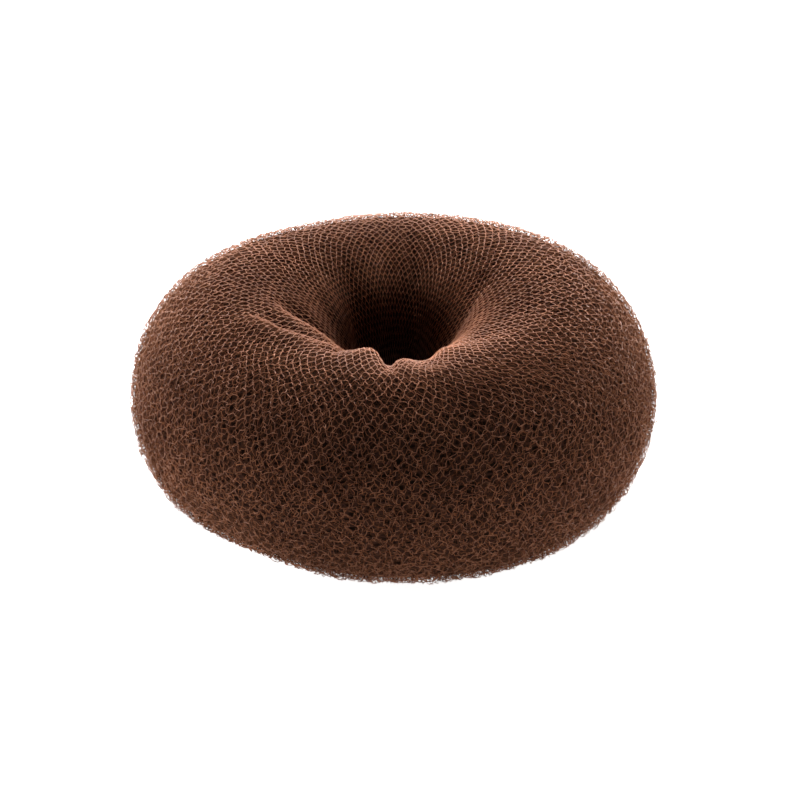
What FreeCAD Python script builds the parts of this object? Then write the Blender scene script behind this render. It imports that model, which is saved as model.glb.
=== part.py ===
import FreeCAD, Part

import math
import os
from collections import namedtuple

# A hair donut: one sleeve of knitted net, rolled over and over on itself into a soft ring.
# It is one piece, so it is one solid. Its last turn is a wall of its own that starts at a hem
# tucked into the hole, passes over the crest, down the outside and under the foot, and runs
# on into the roll just below the hem.
# Millimetres, +Z up, the origin on the surface it rests on, in the middle of the hole.
# Angles round the ring run anticlockwise from the front, which is -Y. Angles round its
# section start at the outermost point, pass the crest at 90 and the throat at 180.

# Driving sizes
OUTER_DIAMETER = 90.0
THROAT_DIAMETER = 12.8
SECTION_HEIGHT = 38.6
SINK = 1.4
TURN_THICKNESS = 1.6
TURN_GAP = 0.4
HEM_HEIGHT = 11.0
HEM_OPENING = 0.8
JOIN_HEIGHT = 3.5

# How many sections, and points over each, the smooth surface is passed through. The points are
# closest together in the middle of the funnel.
SECTIONS_ROUND = 96
POINTS_OVER = 53
FUNNEL_DEG = 135
FUNNEL_CLOSENESS = 0.62

# Worked out from them
SECTION_HALF_WIDTH = (OUTER_DIAMETER - THROAT_DIAMETER) / 4
SECTION_HALF_HEIGHT = SECTION_HEIGHT / 2
RING_RADIUS = OUTER_DIAMETER / 2 - SECTION_HALF_WIDTH
CENTRE_HEIGHT = SECTION_HALF_HEIGHT - SINK

# Swells and flats of the soft outline: how far the surface stands out, in millimetres, at an
# angle round the ring and round the section, and how far it spreads in degrees each way.
Swell = namedtuple("Swell", "round_deg section_deg height round_spread section_spread")
SWELLS = [
    Swell(243, 34, 0.9, 28, 40),
    Swell(126, 46, 1.2, 34, 36),
    Swell(48, -45, 0.95, 36, 40),
    Swell(285, -28, 0.35, 24, 36),
    Swell(322, -58, -0.8, 18, 30),
    Swell(205, 61, -0.35, 16, 30),
]

# Gathers, where the net is drawn together as it runs down into the hole. Each is a straight
# ridge from one angle round the ring and section to another, or a valley if its height is
# negative. Its half width is in millimetres.
Gather = namedtuple("Gather", "round_from section_from round_to section_to height half_width")
GATHERS = [
    Gather(283, 84, 320, 106, 0.9, 2.2),
    Gather(278, 92, 345, 150, -2.3, 1.3),
    Gather(270, 100, 307, 137, 1.1, 1.2),
    Gather(267, 107, 304, 160, -2.2, 2.0),
    Gather(327, 98, 332, 148, -1.3, 1.4),
    Gather(342, 92, 348, 150, 0.9, 1.6),
    Gather(359, 82, 355, 150, -1.9, 1.5),
    Gather(14, 84, 20, 150, -1.4, 3.8),
    Gather(29, 96, 39, 150, 0.4, 1.1),
    Gather(44, 94, 86, 84, 0.9, 2.0),
    Gather(38, 116, 92, 93, -1.7, 2.1),
    Gather(128, 106, 90, 158, -0.9, 1.9),
    Gather(152, 112, 122, 175, 0.6, 1.8),
    Gather(174, 90, 158, 180, -1.1, 1.7),
    Gather(189, 112, 202, 180, 0.6, 1.8),
    Gather(204, 110, 234, 180, -0.9, 1.7),
    Gather(226, 112, 262, 175, 0.5, 1.8),
]


def apart(a, b):
    """The signed angle from b to a in degrees, the short way round."""
    return (a - b + 180) % 360 - 180


def swell_lift(round_deg, section_deg):
    """How far the swells lift the surface there."""
    lift = 0.0
    for swell in SWELLS:
        across = apart(round_deg, swell.round_deg) / swell.round_spread
        over = apart(section_deg, swell.section_deg) / swell.section_spread
        lift += swell.height * math.exp(-across * across - over * over)
    return lift


def gather_lift(round_deg, section_deg):
    """How far the gathers lift the surface there."""
    lift = 0.0
    ring_distance = RING_RADIUS + SECTION_HALF_WIDTH * math.cos(math.radians(section_deg))
    for gather in GATHERS:
        run_round = math.radians(apart(gather.round_to, gather.round_from)) * ring_distance
        run_over = math.radians(gather.section_to - gather.section_from) * SECTION_HALF_HEIGHT
        here_round = math.radians(apart(round_deg, gather.round_from)) * ring_distance
        here_over = math.radians(section_deg - gather.section_from) * SECTION_HALF_HEIGHT
        length = math.hypot(run_round, run_over)
        along = (here_round * run_round + here_over * run_over) / length / length
        if not 0 < along < 1:
            continue
        across = (here_round * run_over - here_over * run_round) / length / gather.half_width
        fade = (1 - (2 * along - 1) ** 4) ** 2
        lift += gather.height * fade * math.exp(-across * across)
    return lift


def ring_point(round_deg, section_deg, inset):
    """A point of the ring's surface, inset millimetres below its outer face."""
    lift = swell_lift(round_deg, section_deg) + gather_lift(round_deg, section_deg) - inset
    over = math.radians(section_deg)
    distance = RING_RADIUS + (SECTION_HALF_WIDTH + lift) * math.cos(over)
    height = CENTRE_HEIGHT + (SECTION_HALF_HEIGHT + lift) * math.sin(over)
    turn = math.radians(round_deg)
    return FreeCAD.Vector(distance * math.sin(turn), -distance * math.cos(turn), height)


def foot_angle(round_deg, inset, below, above):
    """The section angle, between one below it and one above it, where the surface meets the
    level of its foot."""
    for _ in range(40):
        middle = (below + above) / 2
        if ring_point(round_deg, middle, inset).z < inset:
            below = middle
        else:
            above = middle
    return above


def section_points(round_deg, inset):
    """Points over one section, from the outer edge of its flat foot to the inner edge, closer
    together in the funnel than elsewhere."""
    start = foot_angle(round_deg, inset, -90.0, 0.0)
    end = foot_angle(round_deg, inset, 270.0, 180.0)
    points = []
    for i in range(POINTS_OVER):
        evenly = start + (end - start) * i / (POINTS_OVER - 1)
        below = FUNNEL_DEG - start
        above = end - FUNNEL_DEG
        reach = below if evenly < FUNNEL_DEG else above
        off = (evenly - FUNNEL_DEG) / reach
        pull = FUNNEL_CLOSENESS * off * (1 - off * off) ** 2
        points.append(ring_point(round_deg, evenly - pull * reach, inset))
    points[0].z = points[-1].z = inset
    return points


def smooth_surface(sections):
    """A surface through all the sections, closed round the ring and open at its foot."""
    over_steps = [i / (POINTS_OVER - 1) for i in range(POINTS_OVER)]
    round_steps = [i / SECTIONS_ROUND for i in range(SECTIONS_ROUND + 1)]
    over_curves = []
    for points in sections:
        curve = Part.BSplineCurve()
        curve.interpolate(Points=points, Parameters=over_steps)
        over_curves.append(curve)
    round_curves = []
    for row in zip(*[curve.getPoles() for curve in over_curves]):
        curve = Part.BSplineCurve()
        curve.interpolate(Points=list(row), PeriodicFlag=True, Parameters=round_steps)
        round_curves.append(curve)
    surface = Part.BSplineSurface()
    surface.buildFromPolesMultsKnots(
        [curve.getPoles() for curve in round_curves],
        over_curves[0].getMultiplicities(),
        round_curves[0].getMultiplicities(),
        over_curves[0].getKnots(),
        round_curves[0].getKnots(),
        False,
        True,
        over_curves[0].Degree,
        round_curves[0].Degree,
    )
    return surface


def ring_solid(inset):
    """The whole ring as a solid with a flat foot, inset millimetres inside the outer face."""
    angles = [360.0 * i / SECTIONS_ROUND for i in range(SECTIONS_ROUND)]
    side = Part.Face(smooth_surface([section_points(angle, inset) for angle in angles]))
    rims = [edge for edge in side.Edges if edge.BoundBox.ZMax < inset + 1e-6]
    rims.sort(key=lambda edge: -edge.BoundBox.XLength)
    foot = Part.Face([Part.Wire(rim) for rim in rims])
    shell = Part.Shell([side, foot])
    shell.sewShape()
    solid = Part.Solid(shell)
    if solid.Volume < 0:
        solid.reverse()
    return solid


def throat_disc(bottom, top):
    """A disc across the hole and the throat's wall, between two heights."""
    base = FreeCAD.Vector(0, 0, bottom)
    return Part.makeCylinder(RING_RADIUS - SECTION_HALF_WIDTH / 2, top - bottom, base)


def rolled_sleeve():
    """The rolled sleeve: the ring, less the gap under its last turn and the gap at its hem."""
    whole = ring_solid(0.0)
    inside_turn = ring_solid(TURN_THICKNESS)
    turn_gap = inside_turn.cut(ring_solid(TURN_THICKNESS + TURN_GAP))
    turn_gap = turn_gap.cut(throat_disc(HEM_HEIGHT - JOIN_HEIGHT, HEM_HEIGHT))
    inner_turns = inside_turn.cut(turn_gap)
    hem_gap = whole.cut(inner_turns).common(throat_disc(HEM_HEIGHT, HEM_HEIGHT + HEM_OPENING))
    return whole.cut(turn_gap.fuse(hem_gap))


def main():
    os.makedirs("parts", exist_ok=True)
    shape = rolled_sleeve()
    box = shape.BoundBox
    shape.translate(FreeCAD.Vector(-box.Center.x, -box.Center.y, -box.ZMin))
    print("solids", len(shape.Solids), "valid", shape.isValid(), "volume", round(shape.Volume))
    shape.Solids[0].exportStep(os.path.join("parts", "rolled_sleeve.step"))


main()
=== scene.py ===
import math
from collections import namedtuple

import bpy
from bpy.props import FloatProperty, FloatVectorProperty, IntProperty, PointerProperty
from bpy.types import Operator, Panel, PropertyGroup
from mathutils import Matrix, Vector
from mathutils.bvhtree import BVHTree


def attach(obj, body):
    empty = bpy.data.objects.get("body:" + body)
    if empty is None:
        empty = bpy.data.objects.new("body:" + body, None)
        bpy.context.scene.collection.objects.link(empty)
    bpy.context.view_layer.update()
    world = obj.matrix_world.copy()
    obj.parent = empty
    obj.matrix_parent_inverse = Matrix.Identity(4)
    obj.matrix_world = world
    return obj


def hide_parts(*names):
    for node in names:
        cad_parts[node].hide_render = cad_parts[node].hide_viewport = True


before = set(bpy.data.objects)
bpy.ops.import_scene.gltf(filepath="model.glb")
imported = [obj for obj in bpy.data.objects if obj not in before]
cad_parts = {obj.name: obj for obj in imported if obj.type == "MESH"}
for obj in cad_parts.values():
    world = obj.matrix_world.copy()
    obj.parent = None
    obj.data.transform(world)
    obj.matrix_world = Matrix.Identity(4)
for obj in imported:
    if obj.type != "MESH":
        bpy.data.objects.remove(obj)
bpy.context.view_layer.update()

# A hair donut: a sleeve of knitted nylon net, rolled over and over on itself into a soft ring.
# The net of its outer turns is made thread by thread over the ring's measured surface, and the
# turns beneath are one wound roll. Metres, +Z up, the origin under the middle of the hole.
# u runs once round the ring from its front, which is -Y, and v once over its section, from
# the outermost point by way of the crest and the throat.

bl_info = {
    "name": "Hair donut",
    "version": (1, 0, 0),
    "blender": (4, 5, 0),
    "location": "3D View > Sidebar > Hair donut",
    "description": "Builds a hair donut of rolled net over its CAD solid, with a plain studio",
    "category": "Object",
}

NODE = "rolled_sleeve"
BODY = "root"
TAU = 2 * math.pi

# The circle through the middle of the ring's section, the section, and where a probe starts
CENTRE_RADIUS = 0.0257
CENTRE_HEIGHT = 0.0179
SECTION_RADIUS = 0.0193
PROBE_START = 0.0235

# Columns round the ring and rows over its section where its surface is measured
SKIN_GRID = (288, 160)
ROLL_GRID = (192, 108)

# The turns of net that can be made out, from the outside in: how many wales there are to one of
# the outer turn, how deep each lies and how far its loops stand off the next, the points of each
# loop, its threads round or flat, and how it lies against the others: its lean in wales over one
# trip of the section, its start and its seed. The painted shade is how light it is drawn on the
# belly, and the painted hole shade how light on the crest and in the hole: painted light and
# shade for how the light falls on the ring and how little reaches the deeper turns. Deeper turns
# are painted darker, most of all in the hole, and the outer turn lighter on the crest.
Turn = namedtuple(
    "Turn", "name wales inset loft points flat lean shift_round shift_over seed shade hole_shade"
)
OUTER_TURN = Turn("outer_turn", 1.0, -0.0002, 0.0006, 8, False, 0, 0.0, 0.0, 0.0, 0.64, 1.0)
INNER_TURNS = [
    Turn("second_turn", 1.36, 0.0, 0.0006, 6, True, -7, 0.0031, 0.0060, 3.1, 0.52, 0.26),
    Turn("third_turn", 1.30, 0.0002, 0.0005, 4, True, 9, 0.0017, 0.0030, 5.7, 0.27, 0.13),
    Turn("fourth_turn", 1.30, 0.0004, 0.0005, 4, True, -12, 0.0043, 0.0090, 8.3, 0.15, 0.08),
]

# How many pieces the outer turn is made in, one above the other
OUTER_PIECES = 2

# A round thread's profile is two sides of a triangle, open where the thread lies on the ring
PROFILE_SIDES = 3

# The distances from the ring's axis between which the net's painted shade lightens from the
# throat to the hole, and changes from its painted shade on the crest to the one on the belly, and
# how light the painted shade leaves the throat
THROAT_REACH = 0.006
HOLE_REACH = 0.015
CREST_REACH = 0.028
BELLY_REACH = 0.042
PAINTED_THROAT_SHADE = 0.2

# The soft light that the fuzz of fine threads catches at its edges
SHEEN_ROUGHNESS = 0.35
SHEEN_TINT = (1.0, 0.47, 0.29, 1.0)

# How the thread's colour varies, in patches and along itself: how fine each is and how strongly
# it counts, and how much the roughness varies
PATCH_SCALE = 90.0
PATCH_STRENGTH = 0.8
FLECK_SCALE = 1400.0
FLECK_STRENGTH = 1.6
ROUGHNESS_SPREAD = 0.3

# The cells of the close turns: how many there are round the ring and over its section, where
# their threads fade out, how high these stand and how strongly, and how matt the net is
ROLL_CELLS = (140.0, 110.0, 1.0)
ROLL_THREAD_EDGES = (0.05, 0.25)
ROLL_THREAD_HEIGHT = 0.0003
ROLL_THREAD_STRENGTH = 0.6
ROLL_ROUGHNESS = 0.9
ROLL_THREAD_SMOOTHER = 0.2

# Where the net is drawn out of square: the place, the spread, and how strongly its columns are
# leaned over and its rows drawn together there
Pull = namedtuple("Pull", "u v spread_u spread_v lean squeeze")
PULLS = [
    Pull(0.105, 0.205, 0.080, 0.10, -0.50, 0.0),
    Pull(0.900, 0.200, 0.070, 0.08, -0.10, 0.35),
    Pull(0.170, 0.120, 0.060, 0.10, -0.15, 0.0),
]

# How much closer together the rows of the net lie over the crest than under the foot, at the
# front and at the back of the ring, and where over its section they are closest
FRONT_CLOSENESS = 0.0
BACK_CLOSENESS = 0.42
CLOSEST = 0.28

# How slack the net is: its mean, how far it swings from that over the section, and the angle by
# which its slackest place lies below the outermost point
SLACK_MEAN = 0.57
SLACK_SWING = 0.43
SLACKEST = 0.6

# Where the net is eased over a gather: the place, the spread, and how often each point is
# brought towards its neighbours. A point with less than the least weight stays where it is.
Ease = namedtuple("Ease", "u v spread_u spread_v passes")
EASES = [
    Ease(0.180, 0.275, 0.085, 0.060, 40),
    Ease(0.800, 0.330, 0.060, 0.070, 8),
]
LEAST_EASE = 0.01

# The stage: how far the floor reaches each way and how matt it is, the point that the camera
# looks at and how far it sees, and the lights' names, places, sizes in metres and watts
FLOOR_REACH = 4.0
FLOOR_ROUGHNESS = 0.9
AIM = Vector((0.0011, 0.0, 0.0168))
SIGHT = 20.0
LIGHTS = [
    ("overhead", (0.0, 0.5, 1.25), 0.8, 3.0),
    ("back_panel", (0.0, 1.1, 0.9), 1.0, 96.0),
    ("left_panel", (-1.3, 0.3, 0.2), 0.4, 22.0),
    ("right_panel", (1.3, 0.3, 0.2), 0.4, 10.0),
]


# Node trees written as Python expressions

class Term:
    """A socket of a node tree. Sums and products of terms and numbers add Math nodes."""

    def __init__(self, tree, socket):
        self.tree = tree
        self.socket = socket

    def math(self, operation, *values):
        return self.tree.add("ShaderNodeMath", {"operation": operation}, dict(enumerate(values)))

    def __add__(self, other):
        return self.math("ADD", self, other)

    def __radd__(self, other):
        return self.math("ADD", other, self)

    def __sub__(self, other):
        return self.math("SUBTRACT", self, other)

    def __rsub__(self, other):
        return self.math("SUBTRACT", other, self)

    def __mul__(self, other):
        return self.math("MULTIPLY", self, other)

    def __rmul__(self, other):
        return self.math("MULTIPLY", other, self)

    def __truediv__(self, other):
        return self.math("DIVIDE", self, other)

    def __rtruediv__(self, other):
        return self.math("DIVIDE", other, self)

    def __mod__(self, other):
        return self.math("FLOORED_MODULO", self, other)

    def floor(self):
        return self.math("FLOOR", self)

    def fraction(self):
        return self.math("FRACT", self)

    def at_least(self, least):
        return self.math("MAXIMUM", self, least)

    def sin(self):
        return self.math("SINE", self)

    def cos(self):
        return self.math("COSINE", self)

    def exp(self):
        return self.math("EXPONENT", self)


class Tree:
    """A node tree being built."""

    def __init__(self, nodes_tree):
        self.nodes_tree = nodes_tree

    def add(self, kind, settings=(), sockets=(), output=0):
        """One node: its settings first, then the values or links of its sockets."""
        node = self.nodes_tree.nodes.new(kind)
        for name, value in dict(settings).items():
            if name == "stops":
                self.set_stops(node.color_ramp, value)
            else:
                setattr(node, name, value)
        for key, value in dict(sockets).items():
            self.fill(self.find(node.inputs, key), value)
        return Term(self, self.find(node.outputs, output)) if len(node.outputs) else None

    def find(self, sockets, key):
        """A socket by its place, or by its identifier or name."""
        if isinstance(key, int):
            return sockets[key]
        for socket in sockets:
            if socket.identifier == key or (socket.name == key and socket.enabled):
                return socket
        raise KeyError(key)

    def fill(self, socket, value):
        """A link from a term, or one from each of several, or else a value."""
        terms = value if isinstance(value, list) else [value]
        if not isinstance(terms[0], Term):
            socket.default_value = value
            return
        for term in terms:
            self.nodes_tree.links.new(term.socket, socket)

    def set_stops(self, ramp, stops):
        """A colour ramp's stops, as (place, colour) pairs from its start to its end."""
        while len(ramp.elements) < len(stops):
            ramp.elements.new(0.5)
        for element, (place, colour) in zip(ramp.elements, stops):
            element.position = place
            element.color = (*colour, 1.0)

    def mix(self, factor, first, second):
        """Two colours mixed."""
        settings = {"data_type": "RGBA"}
        sockets = {"Factor_Float": factor, "A_Color": first, "B_Color": second}
        return self.add("ShaderNodeMix", settings, sockets, "Result_Color")

    def vector(self, operation, *values):
        """Vector maths on terms or plain vectors."""
        return self.add("ShaderNodeVectorMath", {"operation": operation}, dict(enumerate(values)))

    def scaled(self, vector, factor):
        """A vector times a number."""
        sockets = {"Vector": vector, "Scale": factor}
        return self.add("ShaderNodeVectorMath", {"operation": "SCALE"}, sockets)

    def joined(self, x, y, z):
        """A vector of three numbers."""
        return self.add("ShaderNodeCombineXYZ", (), {"X": x, "Y": y, "Z": z})

    def parted(self, vector):
        """The three numbers of a vector."""
        node = self.add("ShaderNodeSeparateXYZ", (), {"Vector": vector}).socket.node
        return [Term(self, output) for output in node.outputs]

    def eased(self, value, start, end, low, high):
        """A number that goes smoothly from low to high as another goes from start to end."""
        settings = {"interpolation_type": "SMOOTHSTEP"}
        sockets = {
            "Value": value,
            "From Min": start,
            "From Max": end,
            "To Min": low,
            "To Max": high,
        }
        return self.add("ShaderNodeMapRange", settings, sockets, "Result")

    def with_painted_shade(self, colour, hole_shade, shade):
        """A colour darkened by painted shade: one painted shade on the crest and in the hole,
        another on the belly, and the darkest painted shade in the throat."""
        place = self.add("ShaderNodeTexCoord", (), (), "Object")
        level = self.vector("MULTIPLY", place, (1.0, 1.0, 0.0))
        length = {"operation": "LENGTH"}
        reach = self.add("ShaderNodeVectorMath", length, {0: level}, "Value")
        # Painted shade by distance from the axis, for the light on the crest and the shade down
        # the hole
        crest = self.eased(reach, CREST_REACH, BELLY_REACH, hole_shade, shade)
        throat = self.eased(reach, THROAT_REACH, HOLE_REACH, PAINTED_THROAT_SHADE, 1.0)
        return self.mix(crest * throat, (0.0, 0.0, 0.0, 1.0), colour)


# The ring's surface, read from the CAD solid

def way_out(u, v):
    """The middle of the ring's section there, and the direction out of it."""
    outward = Vector((math.sin(TAU * u), -math.cos(TAU * u), 0.0))
    middle = outward * CENTRE_RADIUS + Vector((0.0, 0.0, CENTRE_HEIGHT))
    return middle, outward * math.cos(TAU * v) + Vector((0.0, 0.0, math.sin(TAU * v)))


def measured_points(columns, rows, inset):
    """Points of the ring's outer face on an even grid of u and v, moved in by an inset."""
    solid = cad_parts[NODE].data
    triangles = [polygon.vertices for polygon in solid.polygons]
    faces = BVHTree.FromPolygons([vertex.co for vertex in solid.vertices], triangles)
    points = []
    for column in range(columns):
        for row in range(rows):
            middle, direction = way_out(column / columns, row / rows)
            hit = faces.ray_cast(middle + direction * PROBE_START, -direction)[0]
            if hit is None:
                raise RuntimeError("a probe missed the ring")
            points.append(hit - direction * inset)
    for ease in EASES:
        ease_points(points, columns, rows, ease)
    return points


def ease_points(points, columns, rows, ease):
    """Brings the points near one place towards their neighbours, as the net's stretch does."""
    near = {}
    for index in range(len(points)):
        off_u = (index // rows / columns - ease.u) / ease.spread_u
        off_v = (index % rows / rows - ease.v) / ease.spread_v
        weight = math.exp(-off_u ** 4 - off_v ** 4)
        if weight > LEAST_EASE:
            near[index] = weight
    for _ in range(ease.passes):
        before = list(points)
        for index, weight in near.items():
            around = [before[index + step] for step in (-rows, rows, -1, 1)]
            points[index] = before[index].lerp(sum(around, Vector()) / len(around), weight)


def ring_mesh(name, columns, rows, inset):
    """A closed grid over the measured surface, with u and v as its UV map."""
    faces = []
    corners = []
    for column in range(columns):
        for row in range(rows):
            places = [(column + a, row + b) for a, b in ((0, 0), (1, 0), (1, 1), (0, 1))]
            faces.append([c % columns * rows + r % rows for c, r in places])
            corners += [value for c, r in places for value in (c / columns, r / rows)]
    mesh = bpy.data.meshes.new(name)
    mesh.from_pydata(measured_points(columns, rows, inset), [], faces)
    mesh.uv_layers.new(name="UVMap").data.foreach_set("uv", corners)
    mesh.shade_smooth()
    return mesh


def new_object(name, data):
    """An object at the origin, in the scene."""
    made = bpy.data.objects.new(name, data)
    bpy.context.scene.collection.objects.link(made)
    return made


# The net, thread by thread

class NetTree(Tree):
    """The net: a wavy thread round the ring for each course of the knitting, and short links
    from the crests of one course to the troughs of the next. Every point has a place along
    its course, counted in wales, and a place across the courses."""

    INPUTS = {
        "Skin": "Object",
        "Wales": "Int",
        "Courses": "Int",
        "First course": "Int",
        "Courses made": "Int",
        "Points per wale": "Int",
        "Wave": "Float",
        "Loop": "Float",
        "Lean": "Int",
        "Shift round": "Float",
        "Shift over": "Float",
        "Thread radius": "Float",
        "Flat": "Bool",
        "Inset": "Float",
        "Loft": "Float",
        "Stray": "Float",
        "Stray size": "Float",
        "Curl": "Float",
        "Curl size": "Float",
        "Seed": "Float",
        "Material": "Material",
    }

    def __init__(self):
        super().__init__(bpy.data.node_groups.new("Net", "GeometryNodeTree"))
        interface = self.nodes_tree.interface
        interface.new_socket("Net", in_out="OUTPUT", socket_type="NodeSocketGeometry")
        self.identifiers = {}
        for name, kind in self.INPUTS.items():
            socket = interface.new_socket(name, in_out="INPUT", socket_type="NodeSocket" + kind)
            self.identifiers[name] = socket.identifier
        outputs = self.nodes_tree.nodes.new("NodeGroupInput").outputs
        self.given = {name: Term(self, outputs[name]) for name in self.INPUTS}
        threads = [self.course_threads(), self.link_threads()]
        joined = self.add("GeometryNodeJoinGeometry", (), {"Geometry": threads})
        whole = self.add("GeometryNodeRealizeInstances", (), {"Geometry": joined})
        sockets = {"Geometry": whole, "Material": self.given["Material"]}
        painted = self.add("GeometryNodeSetMaterial", (), sockets)
        self.add("NodeGroupOutput", (), {0: painted})

    def course_threads(self):
        """A closed wavy thread for each course."""
        given = self.given
        count = given["Wales"] * given["Points per wale"]
        line = self.add("GeometryNodeCurvePrimitiveLine")
        points = self.add("GeometryNodeResampleCurve", (), {"Curve": line, "Count": count})
        sockets = {"Geometry": points, "Cyclic": True}
        closed = self.add("GeometryNodeSetSplineCyclic", (), sockets)
        sockets = {"Geometry": closed, "Amount": given["Courses made"]}
        curves = self.add("GeometryNodeDuplicateElements", {"domain": "SPLINE"}, sockets)
        index = self.add("GeometryNodeInputIndex")
        course = given["First course"] + (index / count).floor()
        along = (index % count + 0.5) / given["Points per wale"]
        phase = (along - course % 2 * 0.5) * TAU
        slack = self.slack(course / given["Courses"] + given["Shift over"])
        loop = (phase * 2).sin() * given["Loop"] * slack
        return self.threads(curves, along + loop, course + phase.cos() * given["Wave"])

    def link_threads(self):
        """A short thread from each crest to the trough above it."""
        given = self.given
        line = self.add("GeometryNodeCurvePrimitiveLine")
        sockets = {"Geometry": line, "Amount": given["Wales"] * given["Courses made"]}
        curves = self.add("GeometryNodeDuplicateElements", {"domain": "SPLINE"}, sockets)
        index = self.add("GeometryNodeInputIndex")
        link = (index / 2).floor()
        course = given["First course"] + (link / given["Wales"]).floor()
        along = link % given["Wales"] + course % 2 * 0.5
        # A course's points lie half a step to each side of its crest
        crest = (math.pi / given["Points per wale"]).cos() * given["Wave"]
        across = course + crest + index % 2 * (1 - crest * 2)
        return self.threads(curves, along, across)

    def threads(self, curves, along, across):
        """Curves laid on the ring by their places in the net, and given a thickness."""
        radius = self.given["Thread radius"]
        place, inward = self.place(along, across)
        placed = self.add("GeometryNodeSetPosition", (), {"Geometry": curves, "Position": place})
        sockets = {"Curve": placed, "Normal": inward}
        turned = self.add("GeometryNodeSetCurveNormal", {"mode": "FREE"}, sockets)
        sockets = {"Resolution": PROFILE_SIDES, "Radius": radius}
        rim = self.add("GeometryNodeCurvePrimitiveCircle", (), sockets)
        roof = self.add("GeometryNodeSetSplineCyclic", (), {"Geometry": rim, "Cyclic": False})
        sockets = {"Geometry": roof, "Rotation": (0.0, 0.0, math.pi / PROFILE_SIDES)}
        roof = self.add("GeometryNodeTransform", (), sockets)
        ends = {"Start": self.joined(0.0, radius, 0.0), "End": self.joined(0.0, radius * -1, 0.0)}
        strip = self.add("GeometryNodeCurvePrimitiveLine", (), ends)
        sockets = {"Switch": self.given["Flat"], "False": roof, "True": strip}
        profile = self.add("GeometryNodeSwitch", {"input_type": "GEOMETRY"}, sockets)
        sockets = {"Curve": turned, "Profile Curve": profile}
        return self.add("GeometryNodeCurveToMesh", (), sockets)

    def place(self, along, across):
        """Where a point of the net lies, and the way in from there. It strays from its even place
        over the ring, most where the net is slack, and stands off the turn below."""
        given = self.given
        v = across / given["Courses"]
        u = (along + given["Lean"] * v) / given["Wales"] + given["Shift round"]
        mean = (FRONT_CLOSENESS + BACK_CLOSENESS) / 2
        closeness = (u * TAU).cos() * (FRONT_CLOSENESS - mean) + mean
        v = v - ((v - CLOSEST) * TAU).sin() * closeness / TAU
        u, v = self.pulled(u, v + given["Shift over"])
        slack = self.slack(v)
        ring = (v * TAU).cos() * SECTION_RADIUS + CENTRE_RADIUS
        x = (u * TAU).sin() * ring
        y = (u * TAU).cos() * ring
        rough = self.joined(x + given["Seed"], y, (v * TAU).sin() * SECTION_RADIUS)
        stray = self.scatter(rough, given["Stray size"], given["Stray"] * slack)
        curl = self.scatter(rough, given["Curl size"], given["Curl"] * slack)
        u = (u + (stray[0] + curl[0]) / (ring * TAU)).fraction()
        v = (v + (stray[1] + curl[1]) / (SECTION_RADIUS * TAU)).fraction()
        surface = self.skin_at(u, v)
        outward = self.joined((u * TAU).sin(), (u * TAU).cos() * -1, 0.0)
        level = self.scaled(outward, CENTRE_RADIUS)
        middle = self.vector("ADD", level, (0.0, 0.0, CENTRE_HEIGHT))
        inward = self.vector("NORMALIZE", self.vector("SUBTRACT", middle, surface))
        depth = given["Inset"] + (stray[2] / given["Stray"] + 0.5) * given["Loft"] + curl[2]
        x, y, z = self.parted(self.vector("ADD", surface, self.scaled(inward, depth)))
        return self.joined(x, y, z.at_least(given["Thread radius"])), inward

    def slack(self, v):
        """How slack the net is there: most low on the outside, least down in the hole."""
        return (v * TAU + SLACKEST).cos() * SLACK_SWING + SLACK_MEAN

    def pulled(self, u, v):
        """A place in the net moved by every pull."""
        for pull in PULLS:
            off_u = (u - (pull.u - 0.5)).fraction() - 0.5
            off_v = (v - (pull.v - 0.5)).fraction() - 0.5
            near_u = off_u / pull.spread_u
            near_v = off_v / pull.spread_v
            reach = (near_u * near_u * -1 - near_v * near_v).exp()
            u = u + reach * off_v * pull.lean
            v = v - reach * off_v * pull.squeeze
        return u, v

    def scatter(self, place, size, amount):
        """Three random numbers that vary smoothly over a size, up to half the amount each way."""
        sockets = {"Vector": place, "Scale": 1 / size, "Detail": 0.0}
        noise = self.add("ShaderNodeTexNoise", (), sockets, "Color")
        return [(part - 0.5) * amount for part in self.parted(noise)]

    def skin_at(self, u, v):
        """The point of the skin at u and v."""
        skin = self.add("GeometryNodeObjectInfo", (), {"Object": self.given["Skin"]}, "Geometry")
        vectors = {"data_type": "FLOAT_VECTOR"}
        uv = self.add("GeometryNodeInputNamedAttribute", vectors, {"Name": "UVMap"}, "Attribute")
        sockets = {
            "Mesh": skin,
            "Value": self.add("GeometryNodeInputPosition"),
            "Source UV Map": uv,
            "Sample UV": self.joined(u, v, 0.0),
        }
        return self.add("GeometryNodeSampleUVSurface", vectors, sockets, "Value")


def net_piece(name, tree, values):
    """One piece of net as a plain mesh."""
    made = new_object(name, bpy.data.meshes.new(name))
    modifier = made.modifiers.new("Net", "NODES")
    modifier.node_group = tree.nodes_tree
    for key, value in values.items():
        modifier[tree.identifiers[key]] = value
    made.update_tag()
    evaluated = made.evaluated_get(bpy.context.evaluated_depsgraph_get())
    mesh = bpy.data.meshes.new_from_object(evaluated)
    made.modifiers.remove(modifier)
    if not mesh.polygons:
        raise RuntimeError(name + " came out empty")
    made.data = mesh
    mesh.name = name
    mesh.shade_smooth()
    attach(made, BODY)


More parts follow.
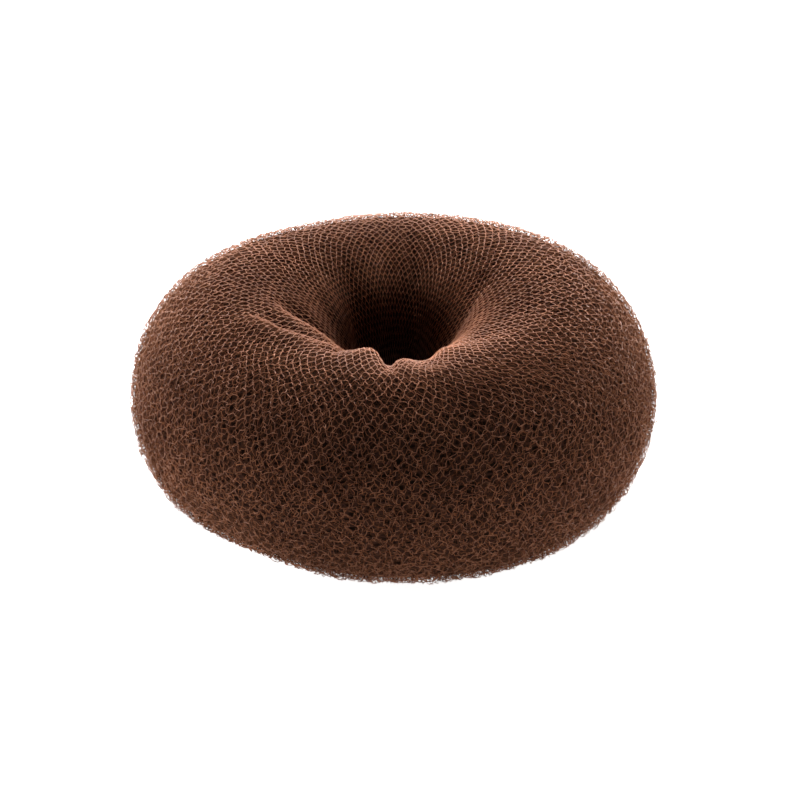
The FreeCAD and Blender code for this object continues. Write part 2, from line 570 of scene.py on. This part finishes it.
def add_turns(context, turns, parts):
    """Turns of net, each as so many pieces one above the other."""
    net = context.scene.hair_donut_net
    skin = new_object("ring_skin", ring_mesh("ring_skin", *SKIN_GRID, 0.0))
    tree = NetTree()
    for turn in turns:
        material = thread_material(net, turn)
        for part in range(parts):
            name = turn.name if parts == 1 else turn.name + "_" + str(part + 1)
            net_piece(name, tree, {
                "Skin": skin,
                "Wales": round(net.wales * turn.wales),
                "Courses": net.courses,
                "First course": net.courses * part // parts,
                "Courses made": net.courses // parts,
                "Points per wale": turn.points,
                "Wave": net.wave,
                "Loop": net.loop,
                "Lean": turn.lean,
                "Shift round": turn.shift_round,
                "Shift over": turn.shift_over,
                "Thread radius": net.thread_diameter / 2,
                "Flat": turn.flat,
                "Inset": turn.inset,
                "Loft": turn.loft,
                "Stray": net.stray,
                "Stray size": net.stray_size,
                "Curl": net.curl,
                "Curl size": net.curl_size,
                "Seed": turn.seed,
                "Material": material,
            })
    bpy.data.objects.remove(skin)


# Materials

def new_material(name):
    """An empty material and its tree."""
    material = bpy.data.materials.new(name)
    material.use_nodes = True
    material.node_tree.nodes.clear()
    return material, Tree(material.node_tree)


def thread_material(net, turn):
    """Fine nylon thread: brown, a little uneven, with a soft gloss. Painted shade makes it darker
    further in and sets how light it is on the crest and the belly.
    """
    material, tree = new_material("nylon_" + turn.name)
    place = tree.add("ShaderNodeTexCoord", (), (), "Object")
    patch = tree.add("ShaderNodeTexNoise", (), {"Vector": place, "Scale": PATCH_SCALE}, "Fac")
    fleck = tree.add("ShaderNodeTexNoise", (), {"Vector": place, "Scale": FLECK_SCALE}, "Fac")
    spread = (patch - 0.5) * PATCH_STRENGTH + (fleck - 0.5) * FLECK_STRENGTH + 0.5
    colour = tree.mix(spread, (*net.thread_dark, 1.0), (*net.thread_light, 1.0))
    sockets = {
        # Painted shade: the thread's colour is darkened by its turn's depth and by where it lies
        "Base Color": tree.with_painted_shade(colour, turn.hole_shade, turn.shade),
        "Roughness": (fleck - 0.5) * ROUGHNESS_SPREAD + net.thread_roughness,
        "Specular IOR Level": net.thread_gloss if turn is OUTER_TURN else 0.0,
        "Sheen Weight": net.sheen,
        "Sheen Roughness": SHEEN_ROUGHNESS,
        "Sheen Tint": SHEEN_TINT,
    }
    surface = tree.add("ShaderNodeBsdfPrincipled", (), sockets)
    tree.add("ShaderNodeOutputMaterial", (), {"Surface": surface})
    return material


def roll_material(roll):
    """The close turns beneath: painted near black as the shade deep in the ring, with the cells
    of their net faintly showing.
    """
    material, tree = new_material("wound_net")
    uv = tree.add("ShaderNodeTexCoord", (), (), "UV")
    cells = tree.vector("MULTIPLY", uv, ROLL_CELLS)
    settings = {"feature": "DISTANCE_TO_EDGE"}
    edge = tree.add("ShaderNodeTexVoronoi", settings, {"Vector": cells, "Scale": 1.0}, "Distance")
    stops = list(zip(ROLL_THREAD_EDGES, [(1.0, 1.0, 1.0), (0.0, 0.0, 0.0)]))
    thread = tree.add("ShaderNodeValToRGB", {"stops": stops}, {"Fac": edge}, "Color")
    mask = tree.add("ShaderNodeRGBToBW", (), {"Color": thread})
    # Painted shade: both colours are near black, for the shade deep among the turns
    colour = tree.mix(mask, (*roll.shade, 1.0), (*roll.thread, 1.0))
    sockets = {
        "Height": mask,
        "Distance": ROLL_THREAD_HEIGHT,
        "Strength": ROLL_THREAD_STRENGTH,
    }
    bump = tree.add("ShaderNodeBump", (), sockets)
    sockets = {
        # More painted shade on the crest, in the hole and in the throat
        "Base Color": tree.with_painted_shade(colour, roll.hole_shade, 1.0),
        "Roughness": ROLL_ROUGHNESS - mask * ROLL_THREAD_SMOOTHER,
        "Specular IOR Level": 0.0,
        "Sheen Weight": roll.sheen,
        "Sheen Roughness": SHEEN_ROUGHNESS,
        "Sheen Tint": SHEEN_TINT,
        "Normal": bump,
    }
    surface = tree.add("ShaderNodeBsdfPrincipled", (), sockets)
    tree.add("ShaderNodeOutputMaterial", (), {"Surface": surface})
    return material


def floor_material(stage):
    """Matt white paper."""
    material, tree = new_material("white_paper")
    sockets = {
        "Base Color": (*stage.floor_colour, 1.0),
        "Roughness": FLOOR_ROUGHNESS,
        "Emission Color": (1.0, 1.0, 1.0, 1.0),
        "Emission Strength": stage.floor_glow,
    }
    surface = tree.add("ShaderNodeBsdfPrincipled", (), sockets)
    tree.add("ShaderNodeOutputMaterial", (), {"Surface": surface})
    return material


# What a user can change

class HairDonutNet(PropertyGroup):
    """The net of the turns that can be made out"""

    wales: IntProperty(
        name="Wales", description="Columns of cells round the ring", default=118, min=20,
    )
    courses: IntProperty(
        name="Courses", description="Rows of cells over the section, an even number",
        default=84, min=10,
    )
    wave: FloatProperty(
        name="Wave", description="How tall the loops of a course are, in courses", default=0.29,
    )
    loop: FloatProperty(
        name="Loop", description="How far the loops lean past their feet, in wales",
        default=0.12,
    )
    thread_diameter: FloatProperty(
        name="Thread diameter", description="Thickness of the nylon thread", default=0.00014,
        min=0.00002, unit="LENGTH",
    )
    stray: FloatProperty(
        name="Stray", description="How far the cells stray from even rows", default=0.0017,
        unit="LENGTH",
    )
    stray_size: FloatProperty(
        name="Stray size", description="Over what distance the cells stray", default=0.0045,
        unit="LENGTH",
    )
    curl: FloatProperty(
        name="Curl", description="How far the thread curls out of its even waves",
        default=0.0019, unit="LENGTH",
    )
    curl_size: FloatProperty(
        name="Curl size", description="Over what distance the thread curls", default=0.0008,
        unit="LENGTH",
    )
    thread_dark: FloatVectorProperty(
        name="Thread, dark", description="Darkest colour of the thread", subtype="COLOR",
        default=(0.110, 0.037, 0.0185),
    )
    thread_light: FloatVectorProperty(
        name="Thread, light", description="Lightest colour of the thread", subtype="COLOR",
        default=(0.420, 0.172, 0.090),
    )
    thread_roughness: FloatProperty(
        name="Thread roughness", description="How matt the thread is", subtype="FACTOR",
        default=0.5, min=0.0, max=1.0,
    )
    thread_gloss: FloatProperty(
        name="Thread gloss", description="Strength of the gloss on the thread", subtype="FACTOR",
        default=0.12, min=0.0, max=1.0,
    )
    sheen: FloatProperty(
        name="Sheen", description="Light that the threads catch at the net's edges",
        subtype="FACTOR", default=0.04, min=0.0, max=1.0,
    )


class HairDonutRoll(PropertyGroup):
    """The close turns beneath them"""

    inset: FloatProperty(
        name="Inset", description="How deep the close turns lie under the outer face",
        default=0.0008, unit="LENGTH",
    )
    # Painted shade: the colour between the threads, near black for the shade deep among the turns
    shade: FloatVectorProperty(
        name="Shade", description="Colour between the threads", subtype="COLOR",
        default=(0.006, 0.003, 0.002),
    )
    # Painted shade: the deep threads are drawn far darker than the net's own brown
    thread: FloatVectorProperty(
        name="Thread", description="Colour of the threads deep down", subtype="COLOR",
        default=(0.034, 0.015, 0.010),
    )
    sheen: FloatProperty(
        name="Sheen", description="Light that the close turns catch at the ring's edges",
        subtype="FACTOR", default=0.15, min=0.0, max=1.0,
    )
    # Painted shade in the hole, against the belly
    hole_shade: FloatProperty(
        name="Hole shade", description="How light it is in the hole, where the belly counts as 1",
        subtype="FACTOR", default=0.2, min=0.0, max=1.0,
    )


class HairDonutStage(PropertyGroup):
    """The floor, the sky and the camera"""

    floor_colour: FloatVectorProperty(
        name="Floor", description="Colour of the floor", subtype="COLOR", default=(0.9, 0.9, 0.9),
    )
    floor_glow: FloatProperty(
        name="Floor glow", description="Light that the floor adds", default=0.97, min=0.0,
    )
    sky: FloatProperty(
        name="Sky", description="Strength of the even light from all round", default=0.0, min=0.0,
    )
    elevation: FloatProperty(
        name="Elevation", description="Height of the camera above the horizon",
        subtype="ANGLE", default=math.radians(29.0),
    )
    distance: FloatProperty(
        name="Distance", description="From the camera to the ring", default=1.5, unit="LENGTH",
    )
    view_width: FloatProperty(
        name="View width", description="Width of what the camera sees at the ring",
        default=0.1377, unit="LENGTH",
    )


# Operators

class HAIR_DONUT_OT_roll(Operator):
    """Adds the closely wound turns under the outer ones"""

    bl_idname = "hair_donut.roll"
    bl_label = "Add wound roll"

    def execute(self, context):
        settings = context.scene.hair_donut_roll
        made = new_object("wound_roll", ring_mesh("wound_roll", *ROLL_GRID, settings.inset))
        made.data.materials.append(roll_material(settings))
        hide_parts(NODE)
        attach(made, BODY)
        return {"FINISHED"}


class HAIR_DONUT_OT_inner_turns(Operator):
    """Adds the turns of net that show through the outer one"""

    bl_idname = "hair_donut.inner_turns"
    bl_label = "Add inner turns"

    def execute(self, context):
        add_turns(context, INNER_TURNS, 1)
        return {"FINISHED"}


class HAIR_DONUT_OT_outer_turn(Operator):
    """Adds the last turn of the sleeve, whose threads stand out most"""

    bl_idname = "hair_donut.outer_turn"
    bl_label = "Add outer turn"

    def execute(self, context):
        add_turns(context, [OUTER_TURN], OUTER_PIECES)
        return {"FINISHED"}


class HAIR_DONUT_OT_stage(Operator):
    """Adds the floor, the lights and the camera"""

    bl_idname = "hair_donut.stage"
    bl_label = "Add stage"

    def execute(self, context):
        stage = context.scene.hair_donut_stage
        self.add_floor(stage)
        self.add_sky(context, stage)
        for name, place, size, power in LIGHTS:
            self.add_light(name, place, size, power)
        self.add_camera(context, stage)
        context.scene.view_settings.view_transform = "Standard"
        return {"FINISHED"}

    def add_floor(self, stage):
        """A white floor that fills the view."""
        mesh = bpy.data.meshes.new("floor")
        signs = [(-1, -1), (1, -1), (1, 1), (-1, 1)]
        corners = [(x * FLOOR_REACH, y * FLOOR_REACH, 0.0) for x, y in signs]
        mesh.from_pydata(corners, [], [(0, 1, 2, 3)])
        mesh.materials.append(floor_material(stage))
        new_object("floor", mesh)

    def add_sky(self, context, stage):
        """Even white light from all round."""
        context.scene.world = bpy.data.worlds.new("studio")
        context.scene.world.use_nodes = True
        background = context.scene.world.node_tree.nodes["Background"]
        background.inputs["Color"].default_value = (1.0, 1.0, 1.0, 1.0)
        background.inputs["Strength"].default_value = stage.sky

    def add_light(self, name, place, size, power):
        """A large soft light turned to the ring."""
        data = bpy.data.lights.new(name, "AREA")
        data.size = size
        data.energy = power
        light = new_object(name, data)
        light.location = place
        light.rotation_euler = (-light.location).to_track_quat("-Z", "Y").to_euler()

    def add_camera(self, context, stage):
        """A long lens at the photograph's angle."""
        data = bpy.data.cameras.new("camera")
        data.lens = data.sensor_width * stage.distance / stage.view_width
        data.clip_end = SIGHT
        camera = new_object("camera", data)
        back = Vector((0.0, -math.cos(stage.elevation), math.sin(stage.elevation)))
        camera.location = AIM + back * stage.distance
        camera.rotation_euler = (-back).to_track_quat("-Z", "Y").to_euler()
        context.scene.camera = camera


class HAIR_DONUT_PT_panel(Panel):
    """The steps of the hair donut, in order"""

    bl_idname = "HAIR_DONUT_PT_panel"
    bl_label = "Hair donut"
    bl_space_type = "VIEW_3D"
    bl_region_type = "UI"
    bl_category = "Hair donut"

    def draw(self, context):
        for step in STEPS:
            self.layout.operator(step.bl_idname)


GROUPS = {
    "hair_donut_net": HairDonutNet,
    "hair_donut_roll": HairDonutRoll,
    "hair_donut_stage": HairDonutStage,
}
STEPS = [
    HAIR_DONUT_OT_roll,
    HAIR_DONUT_OT_inner_turns,
    HAIR_DONUT_OT_outer_turn,
    HAIR_DONUT_OT_stage,
]
CLASSES = [*GROUPS.values(), *STEPS, HAIR_DONUT_PT_panel]


def register():
    for each in CLASSES:
        bpy.utils.register_class(each)
    for name, group in GROUPS.items():
        setattr(bpy.types.Scene, name, PointerProperty(type=group))


def unregister():
    for name in GROUPS:
        delattr(bpy.types.Scene, name)
    for each in reversed(CLASSES):
        bpy.utils.unregister_class(each)


def main():
    register()
    bpy.ops.hair_donut.roll()
    bpy.ops.hair_donut.inner_turns()
    bpy.ops.hair_donut.outer_turn()
    bpy.ops.hair_donut.stage()


if __name__ == "__main__":
    main()
